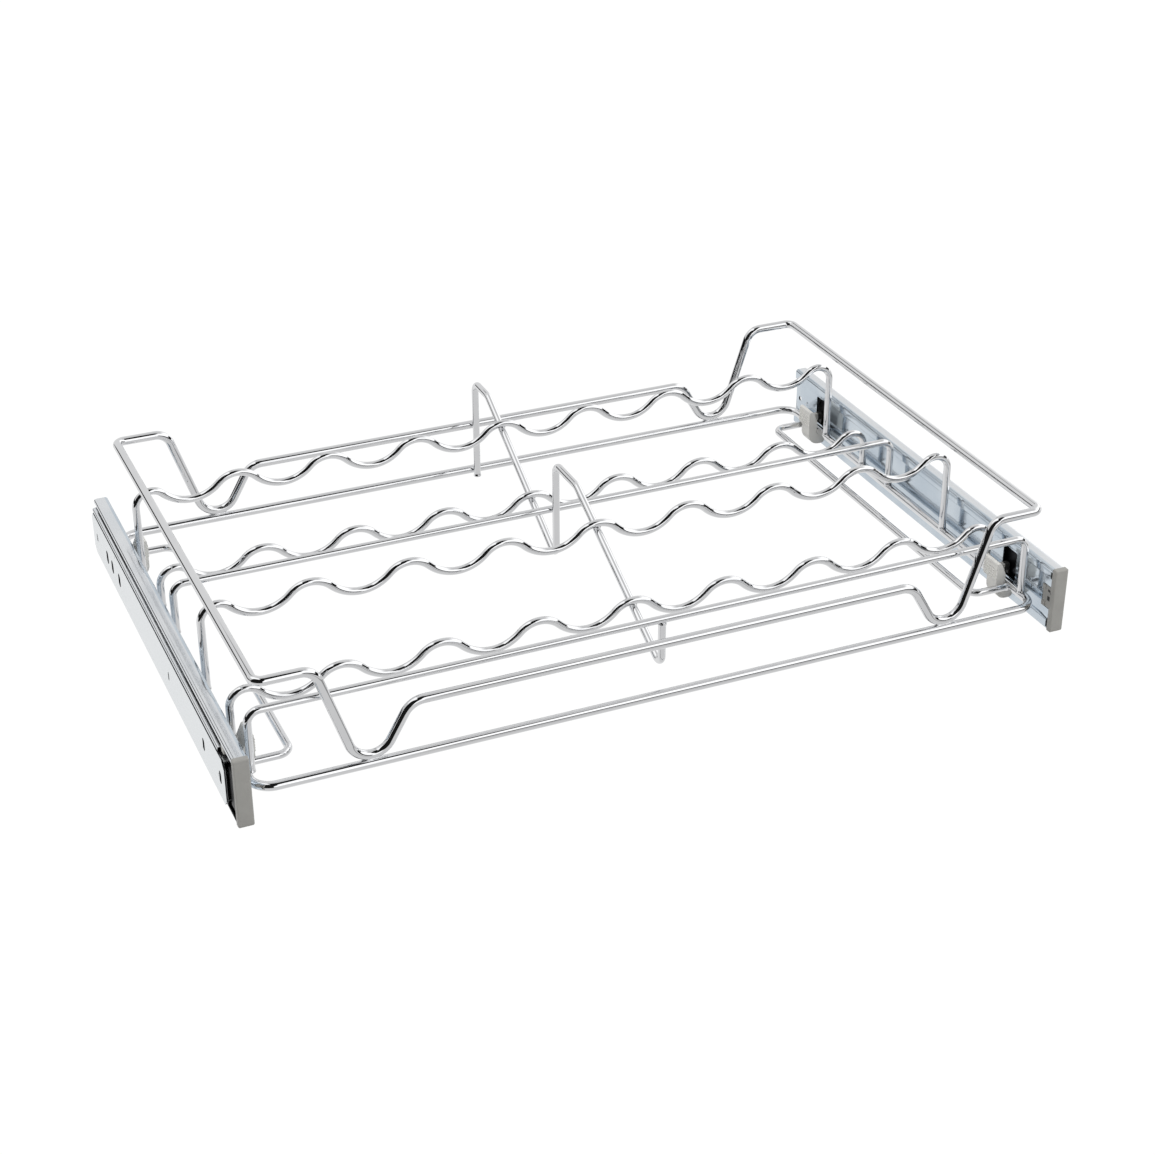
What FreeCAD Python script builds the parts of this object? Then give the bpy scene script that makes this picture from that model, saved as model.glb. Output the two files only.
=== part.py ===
"""Pull-out wire rack for a 600 mm kitchen cabinet, on a pair of ball-bearing slides.

A plated wire rack holds two sloping rows of jars.  Four plastic clips hook it into the
channels of two full-extension slides, whose small members screw to the cabinet sides.
Millimetres.  X runs across the cabinet, Y from front to back, Z up.  The origin lies under
the middle of the rack, level with the lower ends of the slide caps.
"""
import FreeCAD, Part
import math
import os

Vector = FreeCAD.Vector

# Overall sizes
cabinet_width = 564.0        # clear width between the cabinet sides
slide_length = 350.0
slide_height = 45.0
slide_thickness = 12.7

# End caps of the slides
cap_height = 46.0
cap_width = 9.9
cap_plate = 4.0
cap_rounding = 1.2
cap_tongue_height = 15.6
cap_tongue_length = 9.6
cap_tongue_proud = 0.2
cap_hook = 3.4
cap_hook_proud = 0.9

# Wires of the rack
heavy_wire = 6.0
light_wire = 5.0
weld_gap = 0.05              # play between wires that a weld joins
rack_side_gap = 1.6          # between the base wire and the slide beside it
rack_front_setback = 8.0     # front wires behind the front ends of the slides
rack_rear_setback = 4.0      # rear wires ahead of the rear ends of the slides
base_height = 15.5
base_corner = 13.0

# Gallery rail, which dips to the base wire near each corner
gallery_inset = 4.4          # gallery sides inboard of the base sides
gallery_height = 87.0
gallery_low_height = 51.6
gallery_corner = 6.0
gallery_shoulder = 11.0
gallery_rise = 14.0
dip_from_side = 66.3         # from the gallery side to the middle of a dip
dip_radius = 14.0
dip_outer_slope = math.radians(72)
dip_inner_slope = math.radians(60)

# Wavy jar rails and their upright end legs
leg_inset = 2.2              # legs of the jar and stop rails inboard of the base sides
valley_count = 8
valley_radius = 27.0
flank_slope = math.radians(44)
end_bay = 37.8               # last valley to the upright leg
shortest_straight = 0.9      # straight wire left between two bends

# Heights of the jar rails' crests, and the rails' places between the outer wires
rear_upper_crest = 77.5
rear_upper_from_back = 58.8
rear_lower_crest = 47.2
rear_lower_from_stop = 37.1
front_upper_crest = 78.5
front_lower_crest = 51.0
front_lower_from_front = 56.5
front_row_extra = 1.8        # the front row's rails stand this much further apart
row_gap = 74.4               # front row's upper rail to the rear row's stop rail

# Straight stop rails at the foot of each row
rear_stop_height = 53.5
front_stop_height = 59.3
front_stop_from_front = 15.0
stop_bend = 8.0

# Centre divider
divider_foot = 12.0
divider_rear_top = 86.8
divider_front_top = 89.3
divider_top_bend = 7.0
divider_slope_bend = 12.0
divider_low_bend = 5.0

# Side loops, which keep the clips from sliding along the base wire
loop_inset = 30.6            # inner run inboard of the base side
loop_front_leg = 29.6        # front leg behind the front wire
loop_rear_leg = 29.6         # rear leg ahead of the rear wire
loop_corner = 8.0

# Slide members, measured outboard from the rack side of the slide
drawer_sheet = 1.2
drawer_depth = 9.9
drawer_bend = 1.6
web_recess = 1.5
recess_half_height = 15.0
recess_blend = 1.6
drawer_lip = 2.3
web_front_trim = 1.5
middle_sheet = 1.0
middle_web = 5.0
middle_depth = 7.2
middle_bend = 1.2
middle_lip = 2.1
cabinet_sheet = 1.2
cabinet_flange_reach = 5.3
cabinet_face_overhang = 1.5
end_chamfer = 4.0

# Where the members start behind the slide's front end and stop before its rear end
middle_front_gap = 22.0
middle_rear_gap = 4.0
cabinet_front_gap = 8.0
cabinet_rear_gap = 2.0

# Balls and their cages
ball_diameter = 3.2
ball_play = 0.05
ball_pitch = 14.0
balls_per_row = 10
cage_length = 150.0
cage_sheet = 0.5
cage_edge = 0.6
cage_bend = 0.8
outer_ball_depth = 6.9
outer_cage_web = 4.2
inner_ball_depth = 9.2
inner_cage_web = 6.4
middle_play = 7.0            # rest place of the cages behind the slide's middle

# Windows and holes
window_bottom = 15.0
window_height = 21.0
window_length = 16.0
window_from_clip = 1.5       # window's front edge behind the clip's front face
window_corner = 1.5
front_slot_width = 4.5
front_slot_height = 8.5
front_slots_from_front = (10.0, 47.0)
rear_slot_width = 6.0
rear_slot_height = 9.6
rear_slots_from_back = (78.0, 58.0, 43.0)
small_slot_width = 2.4
small_slot_height = 6.0
small_slot_from_front = 130.0
small_slot_from_back = 12.0
rear_hole = 4.0
rear_hole_from_end = 6.0
tongue_notch_play = 0.5
cut_past = 1.0               # how far a cut runs past the faces that it opens

# Clips between the rack and the slides
clip_grip_length = 16.0      # of the ribbed upper part
clip_jaw_length = 11.5       # of the lower part that holds the base wire
clip_reach = 9.5             # inner face inboard of the base wire's middle
clip_bottom = 5.0
clip_top = 32.0
clip_foot_play = 0.5         # foot clear of the slide
clip_foot_top = 13.5
clip_foot_bend = 2.5
clip_heel_bend = 8.5
clip_bite = 0.5              # how deep the base wire sits in the clip's wall
clip_shoulder_height = 23.5  # where the outer side starts to lean inwards
clip_shoulder_bend = 8.0
clip_lean = 3.9
clip_crown_bend = 1.3
clip_top_bend = 1.6
seat_play = 0.1
arm_from_front = 11.7        # hooked arm behind the clip's front face
arm_length = 4.0
arm_height = 5.0
arm_root = 1.0               # how deep the arm starts inside the clip's wall
hook_play = 0.05
hook_drop = 2.5
hook_sheet = 1.15
hook_tip = 0.4
hook_shoulder = 1.0
loop_play = 0.4
rib_count = 5
rib_radius = 0.6
rib_pitch = 1.9
rib_drop = 11.6              # from the clip's top to the lowest rib

# Small plastic stops in the slides
buffer_nose_play = 0.6       # nose ahead of the cabinet member's front end
buffer_play = 0.3
buffer_half_height = 13.0
raceway_stop_length = 5.0
rear_stop_length = 5.0
rear_stop_bottom = 3.0       # heights of the rear stop above the slide's middle
rear_stop_top = 9.0
part_play = 0.05             # between a plastic piece and the sheet that it sits on

# Places that follow from the sizes above
half_width = cabinet_width / 2
slide_inner_face = half_width - slide_thickness
slide_middle = cap_height / 2
slide_front = (cap_plate - slide_length) / 2
slide_back = slide_front + slide_length
rack_front = slide_front + rack_front_setback
rack_back = slide_back - rack_rear_setback
base_side = slide_inner_face - rack_side_gap - heavy_wire / 2
gallery_side = base_side - gallery_inset
leg_side = base_side - leg_inset
base_top = base_height + heavy_wire / 2
leg_foot = base_top + weld_gap


def at(x, y, z):
    return Vector(x, y, z)


def bent_edges(corners, closed=False):
    """Straight runs joined by tangent arcs, through a list of (point, bend radius)."""
    count = len(corners)
    bends = []
    for index, (point, radius) in enumerate(corners):
        is_end = not closed and index in (0, count - 1)
        if is_end or radius == 0:
            bends.append((point, None, point))
            continue
        before = (point - corners[index - 1][0]).normalize()
        after = (corners[(index + 1) % count][0] - point).normalize()
        half_turn = before.getAngle(after) / 2
        reach = radius * math.tan(half_turn)
        inward = (after - before).normalize()
        middle = point + inward * (radius / math.cos(half_turn) - radius)
        bends.append((point - before * reach, middle, point + after * reach))
    edges = []
    for index, (start, middle, end) in enumerate(bends):
        if middle is not None:
            edges.append(Part.Arc(start, middle, end).toShape())
        if closed or index < count - 1:
            following = bends[(index + 1) % count][0]
            if end.distanceToPoint(following) > 1e-6:
                edges.append(Part.makeLine(end, following))
    return edges


def bent_wire(corners, diameter, closed=False):
    """Round wire along a bent path."""
    path = Part.Wire(bent_edges(corners, closed))
    first = path.OrderedEdges[0]
    start = first.valueAt(first.FirstParameter)
    direction = first.tangentAt(first.FirstParameter)
    section = Part.Wire(Part.makeCircle(diameter / 2, start, direction))
    solid = path.makePipeShell([section], True, False)
    expected = math.pi * diameter ** 2 / 4 * path.Length
    if abs(solid.Volume / expected - 1) > 0.002:
        raise ValueError("a bent wire's volume is not its section times its length")
    return solid


def crossing(first_point, first_slope, second_point, second_slope):
    """Where two lines of a plane meet, each given by a point and dz/dx."""
    x = (second_point[1] - first_point[1] + first_slope * first_point[0]
         - second_slope * second_point[0]) / (first_slope - second_slope)
    return x, first_point[1] + first_slope * (x - first_point[0])


def sheet_outline(middle_line, thickness):
    """Closed corners round a bent sheet, from its middle line as (x, z, bend radius)."""
    def side(offset):
        corners = []
        last = len(middle_line) - 1
        for index, (x, z, radius) in enumerate(middle_line):
            point = at(x, 0, z)
            neighbour_in = middle_line[max(index - 1, 0)]
            neighbour_out = middle_line[min(index + 1, last)]
            before = point - at(neighbour_in[0], 0, neighbour_in[1])
            after = at(neighbour_out[0], 0, neighbour_out[1]) - point
            before = (before if index > 0 else after).normalize()
            after = (after if index < last else before).normalize()
            left = at(-before.z - after.z, 0, before.x + after.x).normalize()
            half_turn = before.getAngle(after) / 2
            turns_left = before.x * after.z - before.z * after.x > 0
            bend = radius + (-offset if turns_left else offset)
            is_end = index in (0, last)
            corners.append((point + left * (offset / math.cos(half_turn)),
                            0 if is_end else max(bend, 0)))
        return corners
    return side(thickness / 2) + side(-thickness / 2)[::-1]


def prism(corners, front, length):
    """Solid with an outline in the XZ plane, reaching back from a front place."""
    outline = [(at(point.x, front, point.z), radius) for point, radius in corners]
    face = Part.Face(Part.Wire(bent_edges(outline, closed=True)))
    return face.extrude(at(0, length, 0))


def box(x_span, y_span, z_span):
    size = [high - low for low, high in (x_span, y_span, z_span)]
    return Part.makeBox(*size, at(x_span[0], y_span[0], z_span[0]))


def side_slot(x_span, y_middle, z_middle, width, height):
    """Upright slot with round ends, cut through a web across X."""
    depth = x_span[1] - x_span[0]
    straight = (height - width) / 2
    y_span = (y_middle - width / 2, y_middle + width / 2)
    slot = box(x_span, y_span, (z_middle - straight, z_middle + straight))
    for end in (z_middle - straight, z_middle + straight):
        bore = Part.makeCylinder(width / 2, depth, at(x_span[0], y_middle, end), at(1, 0, 0))
        slot = slot.fuse(bore)
    return slot.removeSplitter()


def rounded_window(x_span, y_span, z_span, radius):
    """Rectangular window with rounded corners, cut through a web across X."""
    corners = [(at(x_span[0], y_span[0], z_span[0]), radius),
               (at(x_span[0], y_span[1], z_span[0]), radius),
               (at(x_span[0], y_span[1], z_span[1]), radius),
               (at(x_span[0], y_span[0], z_span[1]), radius)]
    face = Part.Face(Part.Wire(bent_edges(corners, closed=True)))
    return face.extrude(at(x_span[1] - x_span[0], 0, 0))


def mirrored(shape):
    return shape.mirror(at(0, 0, 0), at(1, 0, 0))


parts = {}


# Base frame: one closed ring of heavy wire that carries every other wire
base_corners = [(at(-base_side, rack_front, base_height), base_corner),
                (at(base_side, rack_front, base_height), base_corner),
                (at(base_side, rack_back, base_height), base_corner),
                (at(-base_side, rack_back, base_height), base_corner)]
parts["base_frame"] = bent_wire(base_corners, heavy_wire, closed=True)


# Gallery rail: a closed ring round the top that dips onto the base wire at four places
def gallery_half_run(y):
    """Corners of the front or rear run, from the middle out to the right-hand side."""
    dip_x = gallery_side - dip_from_side
    dip_bottom = base_height + heavy_wire + weld_gap
    centre = (dip_x, dip_bottom + dip_radius)
    outer = (centre[0] + dip_radius * math.sin(dip_outer_slope),
             centre[1] - dip_radius * math.cos(dip_outer_slope))
    inner = (centre[0] - dip_radius * math.sin(dip_inner_slope),
             centre[1] - dip_radius * math.cos(dip_inner_slope))
    outer_rise = math.tan(dip_outer_slope)
    inner_rise = -math.tan(dip_inner_slope)
    inner_top = crossing(inner, inner_rise, (0, gallery_low_height), 0)
    lowest = crossing(inner, inner_rise, outer, outer_rise)
    outer_top = crossing(outer, outer_rise, (0, gallery_height), 0)
    return [(at(inner_top[0], y, inner_top[1]), gallery_rise),
            (at(lowest[0], y, lowest[1]), dip_radius),
            (at(outer_top[0], y, outer_top[1]), gallery_shoulder),
            (at(gallery_side, y, gallery_height), gallery_corner)]


def mirrored_corners(corners):
    return [(at(-point.x, point.y, point.z), radius) for point, radius in reversed(corners)]


front_run = gallery_half_run(rack_front)
rear_run = gallery_half_run(rack_back)
gallery_corners = front_run + rear_run[::-1]
gallery_corners += mirrored_corners(gallery_corners)
parts["gallery_rail"] = bent_wire(gallery_corners, heavy_wire, closed=True)


# Jar rails: wavy wires whose valleys hold the jars, standing on legs on the base sides
rail_pitch = 2 * (leg_side - end_bay) / (valley_count - 1)
half_flank = rail_pitch / 2 / math.cos(flank_slope)
crest_radius = (half_flank - shortest_straight) / math.tan(flank_slope) - valley_radius
leg_half_turn = (math.pi / 2 + flank_slope) / 2
leg_bend = (end_bay / math.cos(flank_slope) - shortest_straight
            - valley_radius * math.tan(flank_slope)) / math.tan(leg_half_turn)


def jar_rail(y, crest_height):
    vertex_rise = rail_pitch / 2 * math.tan(flank_slope)
    crest_vertex = crest_height + crest_radius * (1 / math.cos(flank_slope) - 1)
    valley_vertex = crest_vertex - vertex_rise
    leg_vertex = valley_vertex + end_bay * math.tan(flank_slope)
    corners = [(at(-leg_side, y, leg_foot), 0), (at(-leg_side, y, leg_vertex), leg_bend)]
    for index in range(valley_count):
        valley_x = (index - (valley_count - 1) / 2) * rail_pitch
        corners.append((at(valley_x, y, valley_vertex), valley_radius))
        if index < valley_count - 1:
            corners.append((at(valley_x + rail_pitch / 2, y, crest_vertex), crest_radius))
    corners += [(at(leg_side, y, leg_vertex), leg_bend), (at(leg_side, y, leg_foot), 0)]
    return bent_wire(corners, light_wire)


# The two rows share the depth that the fixed distances leave between their rails
rail_room = (rack_back - rear_upper_from_back - rear_lower_from_stop - row_gap
             - front_lower_from_front - rack_front)
front_lower_y = rack_front + front_lower_from_front
front_upper_y = front_lower_y + (rail_room + front_row_extra) / 2
rear_stop_y = front_upper_y + row_gap
rear_lower_y = rear_stop_y + rear_lower_from_stop
rear_upper_y = rack_back - rear_upper_from_back
parts["rear_upper_jar_rail"] = jar_rail(rear_upper_y, rear_upper_crest)
parts["rear_lower_jar_rail"] = jar_rail(rear_lower_y, rear_lower_crest)
parts["front_upper_jar_rail"] = jar_rail(front_upper_y, front_upper_crest)
parts["front_lower_jar_rail"] = jar_rail(front_lower_y, front_lower_crest)


# Stop rails: straight wires that the jars' lower ends rest against
def stop_rail(y, height):
    corners = [(at(-leg_side, y, leg_foot), 0), (at(-leg_side, y, height), stop_bend),
               (at(leg_side, y, height), stop_bend), (at(leg_side, y, leg_foot), 0)]
    return bent_wire(corners, light_wire)


front_stop_y = rack_front + front_stop_from_front
parts["rear_stop_rail"] = stop_rail(rear_stop_y, rear_stop_height)
parts["front_stop_rail"] = stop_rail(front_stop_y, front_stop_height)


# Centre divider: one wire in the middle plane, passing under the crests of the jar rails
def slope_under(upper, lower):
    """Point and slope of a wire that touches two crests, each (y, height), from below."""
    slope = (upper[1] - lower[1]) / (upper[0] - lower[0])
    drop = (light_wire + weld_gap) * math.sqrt(1 + slope ** 2)
    return (upper[0], upper[1] - drop), slope


rear_point, rear_slope = slope_under((rear_upper_y, rear_upper_crest),
                                     (rear_lower_y, rear_lower_crest))
front_point, front_slope = slope_under((front_upper_y, front_upper_crest),
                                       (front_lower_y, front_lower_crest))
divider_rear_y = rack_back - heavy_wire / 2 - light_wire / 2 - weld_gap
divider_middle_y = rear_stop_y - light_wire - weld_gap
divider_corners = [
    (divider_rear_y, divider_foot, 0),
    (divider_rear_y, divider_rear_top, divider_top_bend),
    (*crossing(rear_point, rear_slope, (0, divider_rear_top), 0), divider_slope_bend),
    (divider_middle_y, rear_point[1] + rear_slope * (divider_middle_y - rear_point[0]),
     divider_low_bend),
    (divider_middle_y, divider_front_top, divider_top_bend),
    (*crossing(front_point, front_slope, (0, divider_front_top), 0), divider_slope_bend),
    (front_stop_y, front_point[1] + front_slope * (front_stop_y - front_point[0]),
     divider_low_bend),
    (front_stop_y, front_stop_height - light_wire / 2 - weld_gap, 0)]
parts["centre_divider"] = bent_wire([(at(0, y, z), radius) for y, z, radius in divider_corners],
                                    light_wire)


# Side loops: flat wires welded to the inner sides of the base frame
loop_front_y = rack_front + loop_front_leg
loop_rear_y = rack_back - loop_rear_leg
loop_end = base_side - heavy_wire / 2 - weld_gap
loop_x = base_side - loop_inset
loop_corners = [(at(loop_end, loop_front_y, base_height), 0),
                (at(loop_x, loop_front_y, base_height), loop_corner),
                (at(loop_x, loop_rear_y, base_height), loop_corner),
                (at(loop_end, loop_rear_y, base_height), 0)]
right_loop = bent_wire(loop_corners, light_wire)
parts["right_side_loop"] = right_loop
parts["left_side_loop"] = mirrored(right_loop)


# Clips: each holds a base side wire in a jaw and hooks through a window of the slide's channel
web_inner_face = slide_inner_face + web_recess
web_outer_face = web_inner_face + drawer_sheet


def clip(front):
    inner_face = base_side - clip_reach
    foot_end = slide_inner_face - clip_foot_play
    seat_radius = heavy_wire / 2 + seat_play
    seat_top = base_height + seat_radius
    wall_face = base_side - seat_radius + clip_bite
    body = prism([(at(inner_face, 0, clip_bottom), clip_heel_bend),
                  (at(foot_end, 0, clip_bottom), clip_foot_bend),
                  (at(foot_end, 0, clip_foot_top), 0),
                  (at(wall_face, 0, clip_foot_top), 0),
                  (at(wall_face, 0, clip_shoulder_height), clip_shoulder_bend),
                  (at(wall_face - clip_lean, 0, clip_top), clip_top_bend),
                  (at(inner_face, 0, clip_top), clip_crown_bend)], front, clip_grip_length)
    below_grip = box((inner_face - cut_past, foot_end + cut_past),
                     (front + clip_jaw_length, front + clip_grip_length + cut_past),
                     (clip_bottom - cut_past, seat_top))
    seat = Part.makeCylinder(seat_radius, clip_jaw_length, at(base_side, front, base_height),
                             at(0, 1, 0))
    hook_inner = web_outer_face + hook_play
    hook_outer = hook_inner + hook_sheet
    hook_bottom = window_bottom - hook_drop
    arm_top = seat_top + arm_height
    arm = prism([(at(wall_face - arm_root, 0, seat_top), 0),
                 (at(hook_inner, 0, seat_top), 0),
                 (at(hook_inner, 0, hook_bottom), 0),
                 (at(hook_outer, 0, hook_bottom), hook_tip),
                 (at(hook_outer, 0, arm_top), hook_shoulder),
                 (at(wall_face - arm_root, 0, arm_top), 0)], front + arm_from_front, arm_length)
    shape = body.cut(below_grip).cut(seat).fuse(arm)
    for index in range(rib_count):
        rib_z = clip_top - rib_drop + index * rib_pitch
        rib = Part.makeCylinder(rib_radius, clip_grip_length, at(inner_face, front, rib_z),
                                at(0, 1, 0))
        shape = shape.fuse(rib)
    return shape.removeSplitter()


front_clip_front = loop_front_y + light_wire / 2 + loop_play
rear_clip_front = loop_rear_y - clip_grip_length
parts["front_right_clip"] = clip(front_clip_front)
parts["rear_right_clip"] = clip(rear_clip_front)
parts["front_left_clip"] = mirrored(parts["front_right_clip"])
parts["rear_left_clip"] = mirrored(parts["rear_right_clip"])


# Slides: three nested channels with two sets of balls; heights are from the slide's middle
drawer_flange_inside = slide_height / 2 - drawer_sheet
outer_ball_height = drawer_flange_inside - ball_play - ball_diameter / 2
middle_flange_outside = outer_ball_height - ball_diameter / 2 - ball_play
middle_flange_inside = middle_flange_outside - middle_sheet
inner_ball_height = middle_flange_inside - ball_play - ball_diameter / 2
cabinet_flange_outside = inner_ball_height - ball_diameter / 2 - ball_play


def both_sides(upper_half):
    """Middle line of a symmetrical channel, from the corners of its upper half."""
    lower_half = [(depth, -height, radius) for depth, height, radius in reversed(upper_half)]
    return [(slide_inner_face + depth, slide_middle + height, radius)
            for depth, height, radius in upper_half + lower_half]


# Drawer member: the large channel, open towards the cabinet, that carries the rack
def drawer_member():
    half_sheet = drawer_sheet / 2
    flange = slide_height / 2 - half_sheet
    lip = drawer_depth - half_sheet
    section = sheet_outline(both_sides([
        (lip, slide_height / 2 - drawer_lip, 0),
        (lip, flange, drawer_bend),
        (half_sheet, flange, drawer_bend),
        (half_sheet, recess_half_height + recess_blend / 2, half_sheet),
        (half_sheet + web_recess, recess_half_height - recess_blend / 2, half_sheet)]),
        drawer_sheet)
    member = prism(section, slide_front, slide_length)
    web_span = (slide_inner_face - cut_past, web_outer_face + cut_past)
    front_edge = slide_front + web_front_trim
    member = member.cut(box(web_span, (slide_front - cut_past, front_edge),
                            (slide_middle - flange + drawer_bend,
                             slide_middle + flange - drawer_bend)))
    for clip_front in (front_clip_front, rear_clip_front):
        window_front = clip_front + window_from_clip
        member = member.cut(rounded_window(
            web_span, (window_front, window_front + window_length),
            (window_bottom, window_bottom + window_height), window_corner))
    notch_half = cap_tongue_height / 2 + tongue_notch_play
    notch_end = slide_front + cap_tongue_length + tongue_notch_play
    member = member.cut(rounded_window(
        web_span, (slide_front - cap_tongue_length, notch_end),
        (slide_middle - notch_half, slide_middle + notch_half), window_corner))
    hole = Part.makeCylinder(rear_hole / 2, web_span[1] - web_span[0],
                             at(web_span[0], slide_back - rear_hole_from_end, slide_middle),
                             at(1, 0, 0))
    return member.cut(hole)


# Middle member: the channel that travels half as far as the rack
middle_front = slide_front + middle_front_gap
middle_back = slide_back - middle_rear_gap


def middle_member():
    half_sheet = middle_sheet / 2
    flange = middle_flange_outside - half_sheet
    web = middle_web + half_sheet
    lip = middle_web + middle_depth - half_sheet
    section = sheet_outline(both_sides([
        (lip, middle_flange_outside - middle_lip, 0),
        (lip, flange, middle_bend),
        (web, flange, middle_bend)]), middle_sheet)
    return prism(section, middle_front, middle_back - middle_front)


# Cabinet member: the small channel that is screwed to the cabinet side
cabinet_front = slide_front + cabinet_front_gap
cabinet_back = slide_back - cabinet_rear_gap
cabinet_face_half = cabinet_flange_outside + cabinet_face_overhang


def cabinet_member():
    length = cabinet_back - cabinet_front
    face_span = (half_width - cabinet_sheet, half_width)
    y_span = (cabinet_front, cabinet_back)
    low = slide_middle - cabinet_face_half
    high = slide_middle + cabinet_face_half
    outline = [(at(face_span[0], y, z), 0) for y, z in (
        (y_span[0], low + end_chamfer), (y_span[0] + end_chamfer, low),
        (y_span[1] - end_chamfer, low), (y_span[1], low + end_chamfer),
        (y_span[1], high - end_chamfer), (y_span[1] - end_chamfer, high),
        (y_span[0] + end_chamfer, high), (y_span[0], high - end_chamfer))]
    face = Part.Face(Part.Wire(bent_edges(outline, closed=True)))
    member = face.extrude(at(cabinet_sheet, 0, 0))
    flange_span = (face_span[0] - cabinet_flange_reach + cabinet_sheet, face_span[0])
    for side in (-1, 1):
        outside = slide_middle + side * cabinet_flange_outside
        inside = outside - side * cabinet_sheet
        z_span = (min(outside, inside), max(outside, inside))
        flange = box(flange_span, (cabinet_front + end_chamfer, cabinet_back - end_chamfer),
                     z_span)
        member = member.fuse(flange)
    cut_span = (flange_span[1] - cut_past, half_width + cut_past)
    slots = [(cabinet_front + distance, front_slot_width, front_slot_height)
             for distance in front_slots_from_front]
    slots += [(cabinet_back - distance, rear_slot_width, rear_slot_height)
              for distance in rear_slots_from_back]
    slots += [(y, small_slot_width, small_slot_height)
              for y in (cabinet_front + small_slot_from_front, cabinet_back - small_slot_from_back)]
    for y, width, height in slots:
        member = member.cut(side_slot(cut_span, y, slide_middle, width, height))
    return member.removeSplitter()


# Ball cages: thin channels with a hole for each ball, and the balls they hold
cage_middle = (slide_front + slide_back) / 2 + middle_play
ball_places = [cage_middle + (index - (balls_per_row - 1) / 2) * ball_pitch
               for index in range(balls_per_row)]


def ball_cage(web_depth, ball_depth, ball_height):
    hole_radius = ball_diameter / 2 + ball_play
    edge = ball_depth + hole_radius + cage_edge
    web = web_depth + cage_sheet / 2
    section = sheet_outline(both_sides([(edge, ball_height, 0), (web, ball_height, cage_bend)]),
                            cage_sheet)
    cage = prism(section, cage_middle - cage_length / 2, cage_length)
    x = slide_inner_face + ball_depth
    for y in ball_places:
        through = Part.makeCylinder(hole_radius, 2 * slide_height,
                                    at(x, y, slide_middle - slide_height), at(0, 0, 1))
        cage = cage.cut(through)
    return cage


def ball_set(ball_depth, ball_height):
    x = slide_inner_face + ball_depth
    return Part.makeCompound([Part.makeSphere(ball_diameter / 2, at(x, y, slide_middle + height))
                              for y in ball_places for height in (-ball_height, ball_height)])


# End cap: a plate over the channel's front end, and a tongue whose two hooks grip the web
def end_cap():
    plate = box((slide_inner_face, slide_inner_face + cap_width),
                (slide_front - cap_plate, slide_front), (0, cap_height))
    front_edges = [edge for edge in plate.Edges
                   if edge.BoundBox.YMin < slide_front - cap_plate / 2]
    plate = plate.makeFillet(cap_rounding, front_edges)
    tongue_half = cap_tongue_height / 2
    tongue_end = slide_front + cap_tongue_length
    tongue = box((web_inner_face - cap_tongue_proud, web_outer_face - part_play),
                 (slide_front - cap_plate / 2, tongue_end),
                 (slide_middle - tongue_half, slide_middle + tongue_half))
    shape = plate.fuse(tongue)
    for side in (-1, 1):
        hook_middle = slide_middle + side * (tongue_half - cap_hook / 2)
        hook = box((web_inner_face - cap_hook_proud, web_inner_face),
                   (tongue_end - cap_hook, tongue_end),
                   (hook_middle - cap_hook / 2, hook_middle + cap_hook / 2))
        shape = shape.fuse(hook)
    return shape.removeSplitter()


# Plastic stops: a buffer and a raceway block at the front, a cage stop at the rear
def front_buffer():
    """Block behind the cap, with a thinner tail that the middle member closes against."""
    inner = web_outer_face + part_play
    z_span = (slide_middle - buffer_half_height, slide_middle + buffer_half_height)
    nose = box((inner, slide_inner_face + drawer_depth),
               (slide_front + part_play, cabinet_front - buffer_nose_play), z_span)
    tail = box((inner, half_width - cabinet_flange_reach - buffer_play),
               (slide_front + part_play, middle_front - buffer_play), z_span)
    return nose.fuse(tail).removeSplitter()


def raceway_stop():
    back = middle_front - buffer_play
    return box((slide_inner_face + middle_web, slide_inner_face + drawer_depth),
               (back - raceway_stop_length, back),
               (slide_middle + inner_ball_height, slide_middle + drawer_flange_inside
                - drawer_sheet))


def rear_stop():
    return box((web_outer_face + part_play, slide_inner_face + outer_cage_web - buffer_play),
               (slide_back - rear_stop_length, slide_back),
               (slide_middle + rear_stop_bottom, slide_middle + rear_stop_top))


right_slide = {
    "drawer_member": drawer_member(),
    "middle_member": middle_member(),
    "cabinet_member": cabinet_member(),
    "outer_ball_cage": ball_cage(outer_cage_web, outer_ball_depth, outer_ball_height),
    "outer_balls": ball_set(outer_ball_depth, outer_ball_height),
    "inner_ball_cage": ball_cage(inner_cage_web, inner_ball_depth, inner_ball_height),
    "inner_balls": ball_set(inner_ball_depth, inner_ball_height),
    "end_cap": end_cap(),
    "front_buffer": front_buffer(),
    "raceway_stop": raceway_stop(),
    "rear_stop": rear_stop()}
for name, shape in right_slide.items():
    parts["right_" + name] = shape
    parts["left_" + name] = mirrored(shape)


os.makedirs("parts", exist_ok=True)
for name, shape in parts.items():
    if not shape.isValid():
        raise ValueError(name + " is not a valid solid")
    shape.exportStep("parts/" + name + ".step")
    print(name, len(shape.Solids), round(shape.Volume, 1))
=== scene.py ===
"""Looks of the pull-out wire rack: chromed wire, zinc-plated slides, grey caps and pale clips.

Metres.  X runs across the cabinet, Y from front to back, Z up, as in the solids.
"""

import math

import bmesh
import bpy
import numpy as np
from mathutils import Matrix, Vector


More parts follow.
